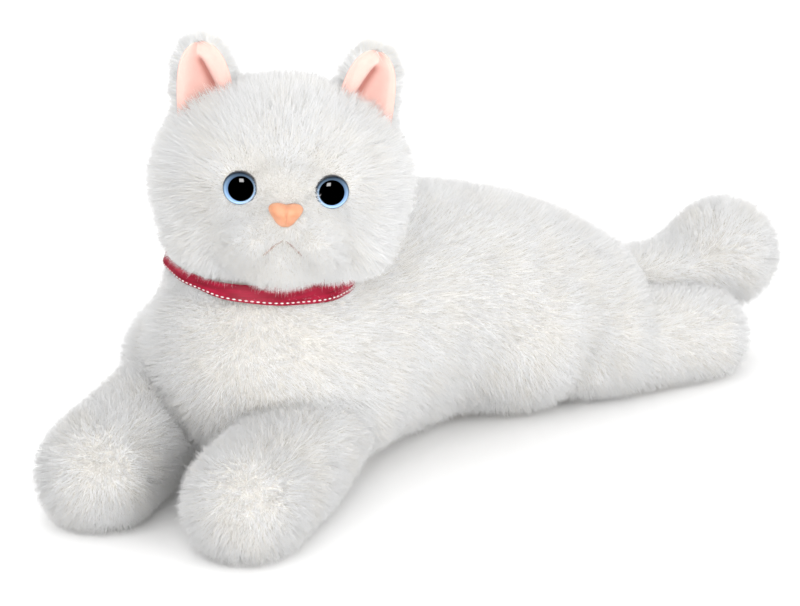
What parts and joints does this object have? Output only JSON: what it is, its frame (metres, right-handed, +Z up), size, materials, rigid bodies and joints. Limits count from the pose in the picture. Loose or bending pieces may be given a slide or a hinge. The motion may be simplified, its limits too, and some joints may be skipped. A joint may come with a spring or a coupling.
{
  "type": "plush cat",
  "caption": "Lying long-pile plush cat with stuffed limbs, head and tail that swing at their seams, pink-lined ears, safety eyes, a moulded nose and a ribbon collar.",
  "frame": {"origin": "middle of the lying toy's footprint, on the surface that it rests on", "axes": "+Z up, -Y towards the forepaws and face, +Y towards the tail, +X the cat's left"},
  "size_m": [0.162, 0.4062, 0.2041],
  "materials": {
    "fur": "long silky white pile",
    "sheared_fur": "short sheared cream pile",
    "stuffing": "matte polyester fibre",
    "pellet_bag": "matte woven bag of pellets",
    "ear_lining": "short brushed satin",
    "ribbon": "satin with a pale saddle stitch",
    "tape": "matte woven tape",
    "eye_clear": "clear polished acrylic",
    "eye_iris": "painted pale blue, glossy",
    "eye_pupil": "polished black",
    "plastic_white": "matte moulded",
    "nose": "satin moulded peach plastic",
    "thread": "matte embroidery thread"
  },
  "bodies": {
    "torso": {"belly_panel": "fur", "belly_pellet_bag": "pellet_bag", "torso_left_panel": "fur", "torso_right_panel": "fur", "torso_stuffing": "stuffing"},
    "neck": {"collar_ribbon": "ribbon", "neck_core": "stuffing", "neck_panel": "fur", "neck_seam_tape": "tape"},
    "head": {"chin_panel": "fur", "crown_gusset": "fur", "eye_left_dome": "eye_clear", "eye_left_iris": "eye_iris", "eye_left_pupil": "eye_pupil", "eye_left_stem": "plastic_white", "eye_left_washer": "plastic_white", "eye_right_dome": "eye_clear", "eye_right_iris": "eye_iris", "eye_right_pupil": "eye_pupil", "eye_right_stem": "plastic_white", "eye_right_washer": "plastic_white", "head_left_panel": "fur", "head_right_panel": "fur", "head_stuffing": "stuffing", "mouth_thread": "thread", "muzzle_patch": "sheared_fur", "nose": "nose", "nose_washer": "plastic_white"},
    "ear_left": {"ear_left_back": "fur", "ear_left_lining": "ear_lining"},
    "ear_right": {"ear_right_back": "fur", "ear_right_lining": "ear_lining"},
    "foreleg_left": {"foreleg_left_sole_panel": "fur", "foreleg_left_stuffing": "stuffing", "foreleg_left_upper_panel": "fur"},
    "foreleg_right": {"foreleg_right_sole_panel": "fur", "foreleg_right_stuffing": "stuffing", "foreleg_right_upper_panel": "fur"},
    "hindleg_left": {"hindleg_left_sole_panel": "fur", "hindleg_left_stuffing": "stuffing", "hindleg_left_upper_panel": "fur"},
    "hindleg_right": {"hindleg_right_sole_panel": "fur", "hindleg_right_stuffing": "stuffing", "hindleg_right_upper_panel": "fur"},
    "tail": {"tail_sole_panel": "fur", "tail_stuffing": "stuffing", "tail_upper_panel": "fur"}
  },
  "joints": [
    {"name": "head_turn", "type": "hinge", "parent": "torso", "child": "neck", "pos_m": [-0.0065, -0.106, 0.098], "axis": [0, 0, 1], "range_deg": [-25, 25], "stiffness_Nm_per_rad": 0.4},
    {"name": "head_nod", "type": "hinge", "parent": "neck", "child": "head", "pos_m": [-0.0065, -0.106, 0.114], "axis": [0.7071, 0.7071, 0], "range_deg": [-12, 5], "stiffness_Nm_per_rad": 2.5},
    {"name": "ear_left_fold", "type": "hinge", "parent": "head", "child": "ear_left", "pos_m": [0.04019, -0.09148, 0.17269], "axis": [0.689, 0.689, -0.225], "range_deg": [-15, 15], "stiffness_Nm_per_rad": 0.02},
    {"name": "ear_right_fold", "type": "hinge", "parent": "head", "child": "ear_right", "pos_m": [-0.00496, -0.13663, 0.17716], "axis": [0.7044, 0.7044, 0.0872], "range_deg": [-15, 15], "stiffness_Nm_per_rad": 0.02},
    {"name": "foreleg_left_swing", "type": "hinge", "parent": "torso", "child": "foreleg_left", "pos_m": [0.013, -0.096, 0.031], "axis": [0, 0, 1], "range_deg": [-4, 18], "stiffness_Nm_per_rad": 0.1},
    {"name": "foreleg_right_swing", "type": "hinge", "parent": "torso", "child": "foreleg_right", "pos_m": [-0.048, -0.115, 0.031], "axis": [0, 0, -1], "range_deg": [-4, 18], "stiffness_Nm_per_rad": 0.1},
    {"name": "hindleg_left_swing", "type": "hinge", "parent": "torso", "child": "hindleg_left", "pos_m": [0.035, 0.07, 0.026], "axis": [0, 0, -1], "range_deg": [-2, 18], "stiffness_Nm_per_rad": 0.1},
    {"name": "hindleg_right_swing", "type": "hinge", "parent": "torso", "child": "hindleg_right", "pos_m": [-0.014, 0.079, 0.026], "axis": [0, 0, 1], "range_deg": [-2, 18], "stiffness_Nm_per_rad": 0.1},
    {"name": "tail_lift", "type": "hinge", "parent": "torso", "child": "tail", "pos_m": [0.019, 0.096, 0.052], "axis": [0.9507, -0.3102, 0], "range_deg": [0, 30], "stiffness_Nm_per_rad": 0.1}
  ]
}
